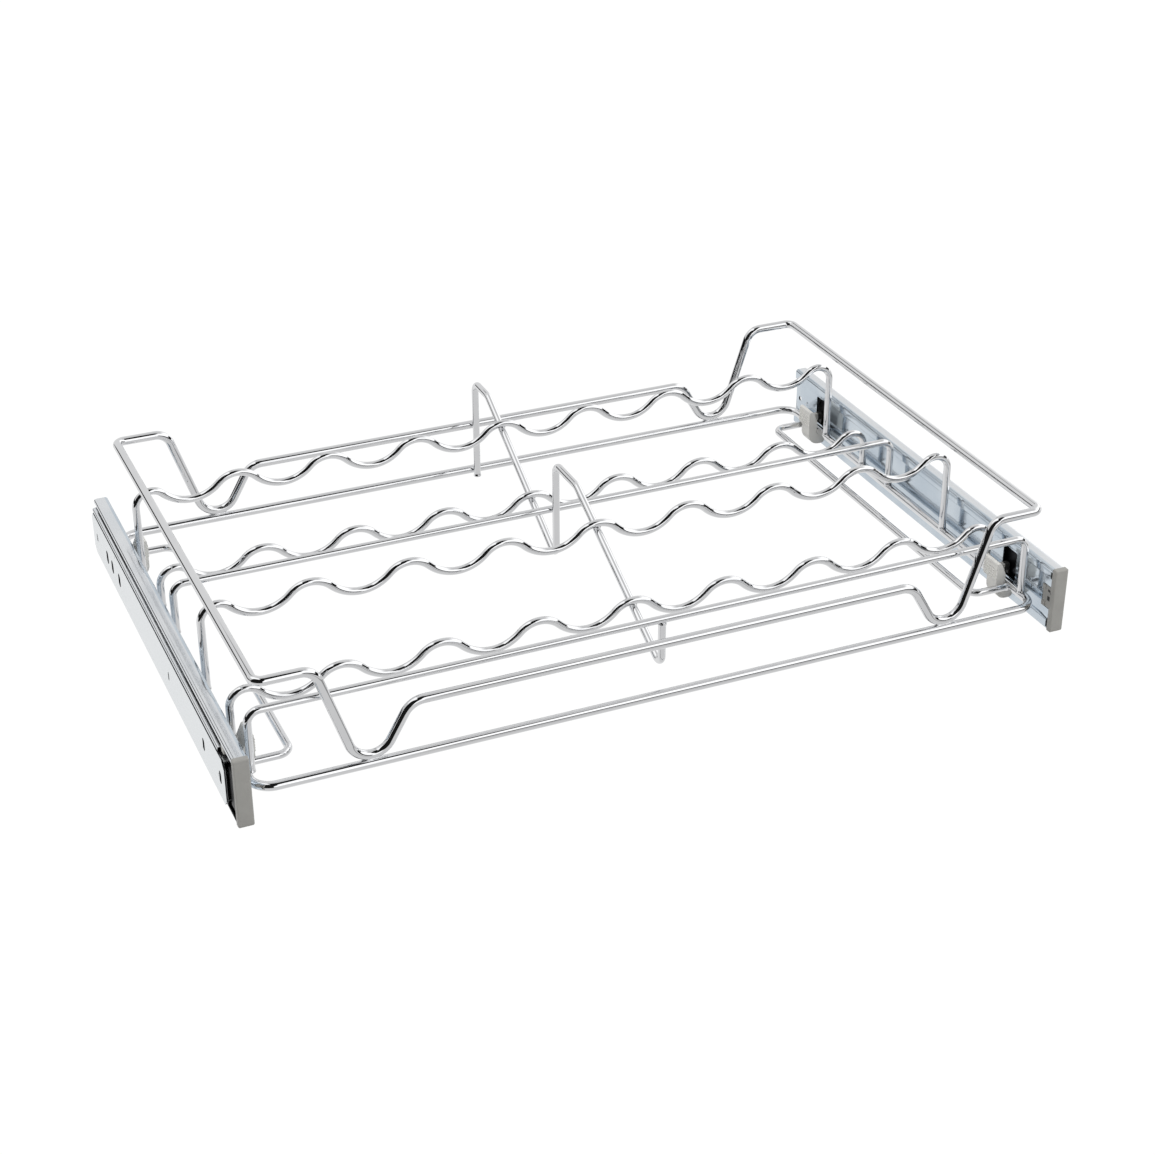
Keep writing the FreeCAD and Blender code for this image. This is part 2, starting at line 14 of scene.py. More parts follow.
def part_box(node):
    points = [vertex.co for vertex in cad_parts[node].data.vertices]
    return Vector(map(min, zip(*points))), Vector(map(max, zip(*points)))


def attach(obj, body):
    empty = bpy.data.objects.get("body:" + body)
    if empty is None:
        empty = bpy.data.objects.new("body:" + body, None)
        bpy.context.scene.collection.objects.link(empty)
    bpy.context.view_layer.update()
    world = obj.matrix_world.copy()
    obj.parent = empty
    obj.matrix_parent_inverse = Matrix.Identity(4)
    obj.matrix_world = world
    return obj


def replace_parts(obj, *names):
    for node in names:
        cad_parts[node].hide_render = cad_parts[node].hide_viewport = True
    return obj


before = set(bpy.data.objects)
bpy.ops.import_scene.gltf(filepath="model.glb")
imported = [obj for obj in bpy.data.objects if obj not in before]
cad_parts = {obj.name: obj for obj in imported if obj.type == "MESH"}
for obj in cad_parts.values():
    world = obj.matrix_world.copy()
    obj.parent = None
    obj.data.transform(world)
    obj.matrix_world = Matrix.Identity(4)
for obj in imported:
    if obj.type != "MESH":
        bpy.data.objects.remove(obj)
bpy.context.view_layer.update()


# Base frame
# One closed ring of 6 mm steel wire, butt-welded and chromed; every other wire is welded to it.
# The chrome is bright and smooth, with a faint haze and the faint lines left by drawing the wire.
end_rings = np.array([0.0004, 0.0009, 0.0015, 0.0022, 0.0031, 0.0045])
end_swell = 0.16
swell_reach = 0.0014
end_taper = 0.93


def unit(vectors):
    """Each vector divided by its own length."""
    vectors = np.asarray(vectors, float)
    return vectors / np.linalg.norm(vectors, axis=-1, keepdims=True)


def bent_line(corners, closed=False, longest_step=0.012, arc_step=math.radians(5)):
    """Points and directions along straight runs that are joined by tangent arcs.

    A corner P between unit directions a and b, turning by 2h with bend radius r, has its arc's
    centre at P + n r / cos h, with n along b - a and m along a + b.  The arc's points are
    centre - n r cos t + m r sin t and its directions m cos t + n sin t, for t from -h to h.
    An open line has more points near its two ends, at the distances of the end rings.
    """
    spots = np.array([corner[:3] for corner in corners], float)
    radii = [corner[3] for corner in corners]
    count = len(corners)
    bends = []
    for index, (spot, radius) in enumerate(zip(spots, radii)):
        if not closed and index in (0, count - 1):
            along = spots[1] - spots[0] if index == 0 else spots[-1] - spots[-2]
            bends.append((spot[None], unit(along)[None]))
            continue
        before = unit(spot - spots[index - 1])
        after = unit(spots[(index + 1) % count] - spot)
        half_turn = math.acos(np.clip(before @ after, -1, 1)) / 2
        inward = unit(after - before)
        middle = unit(after + before)
        steps = max(4, round(half_turn * 2 / arc_step))
        turn = np.linspace(-half_turn, half_turn, steps + 1)[:, None]
        centre = spot + inward * radius / math.cos(half_turn)
        bends.append((centre + radius * (middle * np.sin(turn) - inward * np.cos(turn)),
                      middle * np.cos(turn) + inward * np.sin(turn)))
    points, directions = [], []
    for index, (arc, arc_directions) in enumerate(bends):
        points.append(arc)
        directions.append(arc_directions)
        if not closed and index == count - 1:
            break
        start = arc[-1]
        end = bends[(index + 1) % count][0][0]
        length = np.linalg.norm(end - start)
        places = np.linspace(0, length, max(2, math.ceil(length / longest_step) + 1))[1:-1]
        if not closed and index in (0, count - 2):
            close_ones = end_rings if index == 0 else length - end_rings
            places = np.union1d(places, close_ones[(close_ones > 0) & (close_ones < length)])
        run = start + (end - start) * (places / length)[:, None]
        points.append(run)
        directions.append(np.repeat(unit(end - start)[None], len(run), axis=0))
    return np.concatenate(points), np.concatenate(directions)


def mesh_piece(name, points, faces, material, corner_uv=None):
    """Smooth chromed piece that rides on the rack, with an optional UV pair at each face corner."""
    mesh = bpy.data.meshes.new(name)
    mesh.from_pydata(points.tolist(), [], faces)
    mesh.polygons.foreach_set("use_smooth", np.ones(len(mesh.polygons), bool))
    if corner_uv is not None:
        layer = mesh.uv_layers.new(name="length_and_turn")
        layer.data.foreach_set("uv", np.asarray(corner_uv, np.float32).ravel())
    mesh.materials.append(material)
    mesh.update()
    piece = bpy.data.objects.new(name, mesh)
    bpy.context.scene.collection.objects.link(piece)
    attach(piece, "rack")
    return piece


def round_wire(name, line, diameter, material, closed=False, reference=(0, -0.8, 0.6), sides=28):
    """Round wire swept along a line.

    A ring's points are P + r (cos t s + sin t u), with s square to the direction and to a fixed
    reference, and u square to both.  Near a welded end r grows by the swell times
    exp(-(distance / reach) squared), and the end face itself is a little smaller.
    """
    points, directions = line
    rings = len(points)
    side = unit(np.cross(directions, unit(reference)))
    upward = np.cross(side, directions)
    steps = np.linalg.norm(np.diff(points, axis=0), axis=1)
    along = np.concatenate([[0], np.cumsum(steps)])
    radius = np.full(rings, diameter / 2)
    if not closed:
        from_end = np.minimum(along, along[-1] - along)
        radius = radius * (1 + end_swell * np.exp(-(from_end / swell_reach) ** 2))
        radius[[0, -1]] *= end_taper
    turn = np.arange(sides) * 2 * np.pi / sides
    ring = (np.cos(turn)[None, :, None] * side[:, None, :]
            + np.sin(turn)[None, :, None] * upward[:, None, :])
    surface = points[:, None, :] + radius[:, None, None] * ring
    spans = rings if closed else rings - 1
    row = np.arange(spans)[:, None]
    column = np.arange(sides)[None, :]
    next_row = (row + 1) % rings
    next_column = (column + 1) % sides
    quads = np.stack([row * sides + column, row * sides + next_column,
                      next_row * sides + next_column, next_row * sides + column], axis=-1)
    faces = quads.reshape(-1, 4)[:, ::-1].tolist()
    closing = np.linalg.norm(points[0] - points[-1]) if closed else 0
    lengths = np.append(along, along[-1] + closing)
    around = np.arange(sides + 1) / sides
    row_uv = np.broadcast_to(lengths[:-1][:spans, None], (spans, sides))
    next_uv = np.broadcast_to(lengths[1:][:spans, None], (spans, sides))
    this_turn = np.broadcast_to(around[:-1], (spans, sides))
    next_turn = np.broadcast_to(around[1:], (spans, sides))
    uv = np.stack([np.stack([row_uv, this_turn], -1), np.stack([row_uv, next_turn], -1),
                   np.stack([next_uv, next_turn], -1), np.stack([next_uv, this_turn], -1)],
                  axis=2)[:, :, ::-1].reshape(-1, 2)
    if not closed:
        faces.append(list(range(sides)))
        faces.append(list(range((rings - 1) * sides, rings * sides))[::-1])
        ends = np.stack([np.zeros(sides), around[:-1]], -1)
        uv = np.concatenate([uv, ends, ends])
    return mesh_piece(name, surface.reshape(-1, 3), faces, material, uv)


class Shade:
    """One output of a material's nodes; arithmetic and comparisons on it add Math nodes."""

    def __init__(self, tree, socket=None):
        self.tree = tree
        self.socket = socket

    def node(self, kind, sockets=(), output=0, **settings):
        """Any node: its settings first, then the values or links of its sockets."""
        made = self.tree.nodes.new(kind)
        for setting, value in settings.items():
            setattr(made, setting, value)
        for key, value in dict(sockets).items():
            if isinstance(value, Shade):
                self.tree.links.new(value.socket, made.inputs[key])
            else:
                made.inputs[key].default_value = value
        return Shade(self.tree, made.outputs[output])

    def math(self, operation, *values):
        """A Math node's result for numbers or links."""
        return self.node("ShaderNodeMath", dict(enumerate(values)), operation=operation)

    def __add__(self, other):
        return self.math("ADD", self, other)

    def __sub__(self, other):
        return self.math("SUBTRACT", self, other)

    def __rsub__(self, other):
        return self.math("SUBTRACT", other, self)

    def __mul__(self, other):
        return self.math("MULTIPLY", self, other)

    def __truediv__(self, other):
        return self.math("DIVIDE", self, other)

    def __pow__(self, other):
        return self.math("POWER", self, other)

    def __abs__(self):
        return self.math("ABSOLUTE", self)

    def __gt__(self, other):
        return self.math("GREATER_THAN", self, other)

    def __lt__(self, other):
        return self.math("LESS_THAN", self, other)

    def __or__(self, other):
        """The larger of two, so two masks together."""
        return self.math("MAXIMUM", self, other)

    __radd__ = __add__
    __rmul__ = __mul__

    def ramp(self, low, high, from_value=0.0, to_value=1.0):
        """Smooth step from one value to another as this one goes from low to high."""
        return self.node("ShaderNodeMapRange", {"Value": self, "From Min": low, "From Max": high,
                                                "To Min": from_value, "To Max": to_value},
                         interpolation_type="SMOOTHSTEP")

    def fall(self, low, high):
        """Smooth step down from 1 at low to 0 at high."""
        return self.ramp(low, high, 1.0, 0.0)

    def band(self, rise, fall):
        """1 from the end of the rise to the start of the fall, and 0 outside the two."""
        return self.ramp(*rise) * self.fall(*fall)

    def mix(self, first, second):
        """Colour mixed from two by this factor; each is a link, or red, green and blue."""
        tones = [tone if isinstance(tone, Shade) else (*tone, 1) for tone in (first, second)]
        return self.node("ShaderNodeMix", {0: self, 6: tones[0], 7: tones[1]}, output=2,
                         data_type="RGBA")

    def axes(self):
        """The x, y and z of this place or direction."""
        return [self.node("ShaderNodeSeparateXYZ", {0: self}, output=axis) for axis in "XYZ"]

    def noise(self, scale, detail, stretch=None):
        """Soft noise over this place, with its x, y and z multiplied first where stretch says."""
        place = self
        if stretch:
            place = self.node("ShaderNodeMapping", {"Vector": self, "Scale": stretch})
        return self.node("ShaderNodeTexNoise", {"Vector": place, "Scale": scale, "Detail": detail})

    def bump(self, strength, distance, **under):
        """Normal of a surface raised by this height, over another one where it is given."""
        return self.node("ShaderNodeBump", {"Height": self, "Strength": strength,
                                            "Distance": distance, **under})


def new_material(name, **constants):
    """Material, the place on its piece, and its principled shader with constant sockets set."""
    material = bpy.data.materials.new(name)
    material.use_nodes = True
    shader = material.node_tree.nodes["Principled BSDF"]
    for socket, value in constants.items():
        shader.inputs[socket.replace("_", " ")].default_value = value
    place = Shade(material.node_tree).node("ShaderNodeTexCoord", output="Object")
    return material, place, shader


def feed(shader, **sockets):
    """Links each value to the shader's socket of that name."""
    for socket, value in sockets.items():
        value.tree.links.new(value.socket, shader.inputs[socket.replace("_", " ")])


def bright_chrome():
    """Bright chrome on drawn wire: faint haze, and faint lines along the wire."""
    material, place, shader = new_material("bright_chrome", Metallic=1.0)
    wire = place.node("ShaderNodeUVMap", uv_map="length_and_turn")
    lines = wire.noise(1.0, 2.0, stretch=(8, 12, 1))
    haze = place.noise(60.0, 3.0)
    feed(shader, Base_Color=haze.ramp(0.35, 0.7).mix((0.84, 0.845, 0.855), (0.81, 0.815, 0.83)),
         Roughness=haze.ramp(0.3, 0.75, 0.015, 0.03), Normal=lines.bump(0.006, 0.0001))
    return material


chrome = bright_chrome()
heavy_wire = 0.006
light_wire = 0.005
low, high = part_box("base_frame")
base_side = high.x - heavy_wire / 2
front_y = low.y + heavy_wire / 2
back_y = high.y - heavy_wire / 2
base_z = (low.z + high.z) / 2
base_bend = 0.013
base_line = bent_line([(-base_side, front_y, base_z, base_bend),
                       (base_side, front_y, base_z, base_bend),
                       (base_side, back_y, base_z, base_bend),
                       (-base_side, back_y, base_z, base_bend)], closed=True)
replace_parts(round_wire("base_frame_wire", base_line, heavy_wire, chrome, closed=True), "base_frame")


# Gallery rail
# One closed ring of the same 6 mm wire round the top.  Front and rear, it dips near each corner
# down to the base frame, where it is welded on, and runs low between the two dips.
low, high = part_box("gallery_rail")
gallery_side = high.x - heavy_wire / 2
gallery_z = high.z - heavy_wire / 2
gallery_low_z = 0.0516
dip_from_side = 0.0663
dip_bend = 0.014
dip_outer_slope = math.radians(72)
dip_inner_slope = math.radians(60)
shoulder_bend = 0.011
rise_bend = 0.014
gallery_bend = 0.006
dip_x = gallery_side - dip_from_side
dip_z = low.z + heavy_wire / 2


def gallery_run(y):
    """Corners of the right half of the front or rear run, from the middle outwards.

    A flank leaves the dip's arc, of centre C and radius r, where the arc's direction has the
    flank's slope a: at C + r (sin a, -cos a) on the outer side, mirrored on the inner side.
    """
    centre_z = dip_z + dip_bend
    outer = (dip_x + dip_bend * math.sin(dip_outer_slope),
             centre_z - dip_bend * math.cos(dip_outer_slope))
    inner = (dip_x - dip_bend * math.sin(dip_inner_slope),
             centre_z - dip_bend * math.cos(dip_inner_slope))
    outer_rise = math.tan(dip_outer_slope)
    inner_rise = -math.tan(dip_inner_slope)
    lowest_x = ((inner[1] - outer[1] + outer_rise * outer[0] - inner_rise * inner[0])
                / (outer_rise - inner_rise))
    lowest_z = outer[1] + outer_rise * (lowest_x - outer[0])
    return [(inner[0] + (gallery_low_z - inner[1]) / inner_rise, y, gallery_low_z, rise_bend),
            (lowest_x, y, lowest_z, dip_bend),
            (outer[0] + (gallery_z - outer[1]) / outer_rise, y, gallery_z, shoulder_bend),
            (gallery_side, y, gallery_z, gallery_bend)]


right_half = gallery_run(front_y) + gallery_run(back_y)[::-1]
left_half = [(-x, y, z, bend) for x, y, z, bend in reversed(right_half)]
gallery_line = bent_line(right_half + left_half, closed=True)
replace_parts(round_wire("gallery_wire", gallery_line, heavy_wire, chrome, closed=True),
            "gallery_rail")


# Jar rails
# Four 5 mm wires pressed into a wave whose valleys cradle the jars; each stands on an upright
# leg at either end, welded onto the base frame's side wires.
valley_count = 8
valley_bend = 0.027
flank_slope = math.radians(44)
end_bay = 0.0378
shortest_straight = 0.0009
jar_rail_y = {}
jar_rail_crest = {}
for rail in ("rear_upper", "rear_lower", "front_upper", "front_lower"):
    low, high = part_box(rail + "_jar_rail")
    y = (low.y + high.y) / 2
    leg_x = high.x - light_wire / 2
    crest_z = high.z - light_wire / 2
    jar_rail_y[rail] = y
    jar_rail_crest[rail] = crest_z
    pitch = 2 * (leg_x - end_bay) / (valley_count - 1)
    half_flank = pitch / 2 / math.cos(flank_slope)
    # A corner that turns by 2h takes r tan h of each flank for its bend, and the bend's top lies
    # r (1 / cos h - 1) below it.  Crests and legs take what the valleys leave of the flanks.
    crest_bend = (half_flank - shortest_straight) / math.tan(flank_slope) - valley_bend
    leg_half_turn = (math.pi / 2 + flank_slope) / 2
    leg_bend = ((end_bay / math.cos(flank_slope) - shortest_straight
                 - valley_bend * math.tan(flank_slope)) / math.tan(leg_half_turn))
    crest_corner = crest_z + crest_bend * (1 / math.cos(flank_slope) - 1)
    valley_corner = crest_corner - pitch / 2 * math.tan(flank_slope)
    leg_corner = valley_corner + end_bay * math.tan(flank_slope)
    corners = [(-leg_x, y, low.z, 0), (-leg_x, y, leg_corner, leg_bend)]
    for index in range(valley_count):
        valley_x = (index - (valley_count - 1) / 2) * pitch
        corners.append((valley_x, y, valley_corner, valley_bend))
        if index < valley_count - 1:
            corners.append((valley_x + pitch / 2, y, crest_corner, crest_bend))
    corners += [(leg_x, y, leg_corner, leg_bend), (leg_x, y, low.z, 0)]
    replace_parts(round_wire(rail + "_jar_wire", bent_line(corners), light_wire, chrome),
                rail + "_jar_rail")


# Stop rails
# Two straight 5 mm wires on bent-down legs, welded onto the base frame like the jar rails; the
# jars' lower ends rest against them.
stop_bend = 0.008
stop_y = {}
stop_z = {}
for rail in ("rear_stop", "front_stop"):
    low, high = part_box(rail + "_rail")
    y = (low.y + high.y) / 2
    leg_x = high.x - light_wire / 2
    top_z = high.z - light_wire / 2
    stop_y[rail] = y
    stop_z[rail] = top_z
    corners = [(-leg_x, y, low.z, 0), (-leg_x, y, top_z, stop_bend),
               (leg_x, y, top_z, stop_bend), (leg_x, y, low.z, 0)]
    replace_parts(round_wire(rail + "_wire", bent_line(corners), light_wire, chrome),
                rail + "_rail")


# Centre divider
# One bent 5 mm wire in the middle plane: up at the back, down a slope under the jar rails'
# crests, up again at the rear stop rail and down to a hook under the front stop rail.
weld_gap = 0.00005
divider_rear_top = 0.0868
divider_front_top = 0.0893
top_bend = 0.007
slope_bend = 0.012
low_bend = 0.005
low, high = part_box("centre_divider")
divider_rear_y = high.y - light_wire / 2
divider_middle_y = stop_y["rear_stop"] - light_wire - weld_gap


def under_crests(upper, lower):
    """Height at each y, and y at each height, of a wire that touches two crests from below.

    Its line runs parallel to the one through the crests' middles, one wire and the weld gap
    away, which is that distance times the root of 1 + slope squared straight down.
    """
    y_upper, y_lower = jar_rail_y[upper], jar_rail_y[lower]
    slope = (jar_rail_crest[upper] - jar_rail_crest[lower]) / (y_upper - y_lower)
    drop = (light_wire + weld_gap) * math.sqrt(1 + slope ** 2)
    start = jar_rail_crest[upper] - drop
    return (lambda y: start + slope * (y - y_upper)), (lambda z: y_upper + (z - start) / slope)


rear_height, rear_place = under_crests("rear_upper", "rear_lower")
front_height, front_place = under_crests("front_upper", "front_lower")
front_stop_y = stop_y["front_stop"]
divider_corners = [
    (0, divider_rear_y, low.z, 0),
    (0, divider_rear_y, divider_rear_top, top_bend),
    (0, rear_place(divider_rear_top), divider_rear_top, slope_bend),
    (0, divider_middle_y, rear_height(divider_middle_y), low_bend),
    (0, divider_middle_y, divider_front_top, top_bend),
    (0, front_place(divider_front_top), divider_front_top, slope_bend),
    (0, front_stop_y, front_height(front_stop_y), low_bend),
    (0, front_stop_y, stop_z["front_stop"] - light_wire / 2 - weld_gap, 0)]
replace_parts(round_wire("centre_divider_wire", bent_line(divider_corners), light_wire, chrome,
                       reference=(1, 0, 0)), "centre_divider")


# Side loops
# A flat 5 mm wire loop inside each side of the base frame, butt-welded at both ends; it keeps
# the clips from sliding along the side wire.
loop_bend = 0.008
for side_name in ("right", "left"):
    low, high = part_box(side_name + "_side_loop")
    end_x = high.x if side_name == "right" else low.x
    inner_x = low.x + light_wire / 2 if side_name == "right" else high.x - light_wire / 2
    loop_front = low.y + light_wire / 2
    loop_rear = high.y - light_wire / 2
    z = (low.z + high.z) / 2
    corners = [(end_x, loop_front, z, 0), (inner_x, loop_front, z, loop_bend),
               (inner_x, loop_rear, z, loop_bend), (end_x, loop_rear, z, 0)]
    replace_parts(round_wire(side_name + "_side_loop_wire", bent_line(corners), light_wire, chrome),
                side_name + "_side_loop")


# Welds
# Resistance welds where wires cross or touch: a little steel squeezed out between the two,
# chromed over with them.
def bead(centre, half_sizes, rounds=8, sides=16):
    """Closed ellipsoid: centre + (a cos p cos t, b cos p sin t, c sin p), its poles closed."""
    lift = np.linspace(-np.pi / 2, np.pi / 2, rounds + 1)[1:-1, None]
    turn = (np.arange(sides) * 2 * np.pi / sides)[None, :]
    ball = np.stack([np.cos(lift) * np.cos(turn), np.cos(lift) * np.sin(turn),
                     np.sin(lift) * np.ones_like(turn)], axis=-1).reshape(-1, 3)
    ball = np.concatenate([ball, [[0, 0, -1], [0, 0, 1]]])
    rows = rounds - 1
    row = np.arange(rows - 1)[:, None]
    column = np.arange(sides)[None, :]
    after = (column + 1) % sides
    quads = np.stack([row * sides + column, row * sides + after,
                      (row + 1) * sides + after, (row + 1) * sides + column], -1).reshape(-1, 4)
    faces = quads.tolist()
    bottom, top = rows * sides, rows * sides + 1
    last = (rows - 1) * sides
    faces += [[(k + 1) % sides, k, bottom] for k in range(sides)]
    faces += [[last + k, last + (k + 1) % sides, top] for k in range(sides)]
    return np.asarray(centre) + ball * np.asarray(half_sizes), faces


divider_leg_weld = (0.0024, 0.0010, 0.0022)
crest_weld = (0.0022, 0.0024, 0.0010)
dip_weld = (0.0070, 0.0017, 0.0011)
weld_places = []
for sign in (-1, 1):
    for y in (front_y, back_y):
        weld_places.append(((sign * dip_x, y, base_z + heavy_wire / 2), dip_weld))
for rail in jar_rail_y:
    weld_places.append(((0, jar_rail_y[rail], jar_rail_crest[rail] - light_wire / 2), crest_weld))
divider_back = divider_rear_y + light_wire / 2
for z in (base_z, gallery_low_z):
    weld_places.append(((0, divider_back, z), divider_leg_weld))
weld_places.append(((0, stop_y["rear_stop"] - light_wire / 2, stop_z["rear_stop"]),
                    divider_leg_weld))
weld_places.append(((0, front_stop_y, stop_z["front_stop"] - light_wire / 2), crest_weld))
weld_points, weld_faces, counted = [], [], 0
for centre, half_sizes in weld_places:
    points, faces = bead(centre, half_sizes)
    weld_points.append(points)
    weld_faces += [[corner + counted for corner in face] for face in faces]
    counted += len(points)
mesh_piece("rack_welds", np.concatenate(weld_points), weld_faces, chrome)


# Slide members
# Three nested channels of bright zinc-plated strip steel on each side.  The rolls leave faint
# lines along the strip, and the zinc has a bluish, slightly clouded shine.
slide_face = 0.2693
slide_middle = 0.023
drawer_sheet = 0.0012
recess_depth = 0.0015
recess_edge = (0.0142, 0.0158)
drawer_lip_depth, drawer_inner_height = 0.0093, 0.0219
middle_web_depth, middle_lip_depth, middle_inner_height = 0.0092, 0.0117, 0.0175
slot_wall_depths, slot_wall_height = (0.0118, 0.01255), 0.0157
drawer_raceway, middle_raceway = (0.0155, 0.0170), (0.0140, 0.0155)
flange_start = (0.0020, 0.0030)
outer_face_start = (0.0120, 0.0124)
# Painted light: the same plate has paler flange and outer-face tones, and darker, bluer web tones.
shaded_web_tones = ((0.72, 0.79, 0.85), (0.60, 0.68, 0.76))
lit_flange_tones = ((0.88, 0.90, 0.92), (0.82, 0.85, 0.88))
lit_outer_face_tone = (0.90, 0.94, 0.965)
# Painted shade: the channels' inner faces are painted darker than the plate.
shaded_inside_tone = (0.50, 0.52, 0.54)
# Near black, for grease and painted shade in the raceways and for painted shade on the slot walls and
# behind the openings.
grease_and_shade_tone = (0.035, 0.036, 0.04)
# Painted shade patches behind the windows and slots, each given as a y, a half length and a half
# height.
shade_patches = ((-0.1230, 0.013, 0.019), (0.1369, 0.013, 0.019), (-0.1550, 0.006, 0.008),
          (-0.1180, 0.006, 0.008), (0.0970, 0.006, 0.008), (0.1170, 0.006, 0.008))
shade_patch_edge, shade_patch_unevenness = (0.75, 1.15), 0.5
dimples = ((-0.1513, 0.0225, 0.0016), (0.1055, 0.0360, 0.0014), (0.1600, 0.0229, 0.0022))
dimple_depth, dimple_floor = 0.0006, 0.2


def bright_zinc():
    """Bluish zinc plate with faint rolling lines. The flange and outer face are painted paler, and
    the web darker and bluer, as painted light. Grease and painted shade darken the raceways. Painted
    shade also darkens the cut walls of the screw slots, patches behind the openings and the channels'
    inner faces.

    Depth is |x| - slide face and height |z - slide middle|.  A point lies inside a channel where its
    depth is between the sheet's middle and the lip's, and its height under the flange's.  Inside a
    channel the plate is painted darker, as painted shade.  A painted shade patch has a y, a half
    length and a half height.  Its mask falls as the root of (distance in y / half length) squared +
    (height / half height) squared, made uneven by the clouds, passes 1.  A dimple's height falls from
    1 at its floor's share of the radius to 0 at the radius, measured in y and z.
    """
    material, place, shader = new_material("bright_zinc", Metallic=0.92)
    x, y, z = place.axes()
    depth = abs(x) - slide_face
    height = abs(z - slide_middle)
    web_middle = height.ramp(*recess_edge, drawer_sheet / 2 + recess_depth, drawer_sheet / 2)
    under_drawer = ((depth > web_middle) * (depth < drawer_lip_depth)
                    * (height < drawer_inner_height))
    under_middle = ((depth < middle_lip_depth) * (height < middle_inner_height)
                    * (depth > middle_web_depth))
    slot_walls = ((depth < slot_wall_depths[1]) * (height < slot_wall_height)
                  * (depth > slot_wall_depths[0]))
    raceways = (under_drawer * height.ramp(*drawer_raceway)
                | under_middle * height.ramp(*middle_raceway))
    clouds = place.noise(30.0, 3.0)
    # Painted shade patches seen through the windows and slots.
    shade_behind_openings = 0.0
    for patch_y, half_length, half_height in shade_patches:
        across = ((y - patch_y) / half_length) ** 2 + (height / half_height) ** 2
        reach = place.math("SQRT", across) + (clouds - 0.5) * shade_patch_unevenness
        shade_behind_openings = reach.fall(*shade_patch_edge) | shade_behind_openings
    # Grease and painted shade in the raceways; painted shade on the slot walls and behind the
    # openings.
    grease_and_shade = raceways | slot_walls | shade_behind_openings * under_drawer
    lines = place.noise(1.0, 2.0, stretch=(900, 12, 900))
    mottle = clouds.ramp(0.3, 0.7)
    # Painted light: paler flange and outer face, darker and bluer web.
    plate = depth.ramp(*flange_start).mix(mottle.mix(*shaded_web_tones), mottle.mix(*lit_flange_tones))
    plate = depth.ramp(*outer_face_start).mix(plate, lit_outer_face_tone)
    # Painted shade on the channels' inner faces.
    plate = (under_drawer | under_middle).mix(plate, shaded_inside_tone)
    pressed = 0.0
    for dimple_y, dimple_z, radius in dimples:
        distance = place.math("SQRT", (y - dimple_y) ** 2 + (z - dimple_z) ** 2)
        pressed = distance.fall(dimple_floor * radius, radius) + pressed
    feed(shader, Base_Color=grease_and_shade.mix(plate, grease_and_shade_tone),
         Roughness=clouds.ramp(0.3, 0.7, 0.085, 0.12) + lines * 0.03 + grease_and_shade * 0.25,
         Normal=pressed.bump(1.0, dimple_depth, Normal=lines.bump(0.03, 0.0001)))
    return material


def finished_copy(node, body, material, rounding=0.0, crease=math.radians(32),
                  same_corner=2e-6, flat_within=math.radians(0.6)):
    """The solid's own surface with shared corners, flat faces joined and edges rounded."""
    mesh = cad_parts[node].data.copy()
    mesh.materials.clear()
    shape = bmesh.new()
    shape.from_mesh(mesh)
    bmesh.ops.remove_doubles(shape, verts=shape.verts, dist=same_corner)
    bmesh.ops.dissolve_limit(shape, angle_limit=flat_within, verts=shape.verts,
                             edges=shape.edges, use_dissolve_boundaries=False)
    for face in shape.faces:
        face.smooth = True
    shape.to_mesh(mesh)
    shape.free()
    mesh.materials.append(material)
    mesh.polygons.foreach_set("material_index", np.zeros(len(mesh.polygons), np.int32))
    mesh.set_sharp_from_angle(angle=crease)
    mesh.update()
    piece = bpy.data.objects.new(node + "_finish", mesh)
    bpy.context.scene.collection.objects.link(piece)
    if rounding:
        bevel = piece.modifiers.new("rounded_edges", "BEVEL")
        bevel.width = rounding
        bevel.segments = 2
        bevel.limit_method = "ANGLE"
        bevel.angle_limit = crease
        bevel.harden_normals = True
    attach(piece, body)
    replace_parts(piece, node)


zinc = bright_zinc()
sheet_rounding = 0.00012
for side_name in ("right", "left"):
    for member, body in (("drawer", "rack"), ("middle", side_name + "_middle_member_group"),
                         ("cabinet", "cabinet_rails")):
        finished_copy(f"{side_name}_{member}_member", body, zinc, sheet_rounding)


# Balls and cages
# Thin pressed-strip cages between the members, plated in dull zinc, hold two rows of ten
# hardened steel balls each; the balls are polished and lie in a film of grease.
def clouded_metal(name, scale, spread, tones, roughness):
    """Metal whose colour and roughness both go between two values with soft noise."""
    material, place, shader = new_material(name, Metallic=1.0)
    clouds = place.noise(*scale)
    feed(shader, Base_Color=clouds.ramp(*spread).mix(*tones),
         Roughness=clouds.ramp(0.3, 0.7, *roughness))
    return material


strip = clouded_metal("cage_strip", (120.0, 3.0), (0.3, 0.7),
                      ((0.62, 0.63, 0.64), (0.48, 0.49, 0.50)), (0.28, 0.4))
steel = clouded_metal("bearing_steel", (500.0, 2.0), (0.35, 0.7),
                      ((0.72, 0.73, 0.75), (0.58, 0.58, 0.56)), (0.08, 0.22))
ball_crease = math.radians(60)
for side_name in ("right", "left"):
    for layer in ("outer", "inner"):
        group = f"{side_name}_{layer}_balls_group"
        finished_copy(f"{side_name}_{layer}_ball_cage", group, strip)
        finished_copy(f"{side_name}_{layer}_balls", group, steel, crease=ball_crease)


# End caps
# Moulded grey plastic over each slide's front end, with a tongue whose two hooks snap into the
# notch of the channel's web.
# Painted shade: the tongue's two pockets are painted near black; each is given as a y, a z, a half
# length and a half height.
tongue_pockets = ((-0.1712, 0.0279, 0.0026, 0.0010), (-0.1708, 0.0222, 0.0022, 0.0018))
pocket_shade_tone = (0.03, 0.03, 0.03)
# Painted shade on the part of a clip that hooks inside the slide.
hook_shade_tone = (0.06, 0.06, 0.058)
dark_edge = 0.0003
pocket_floor = slide_face + recess_depth + dark_edge


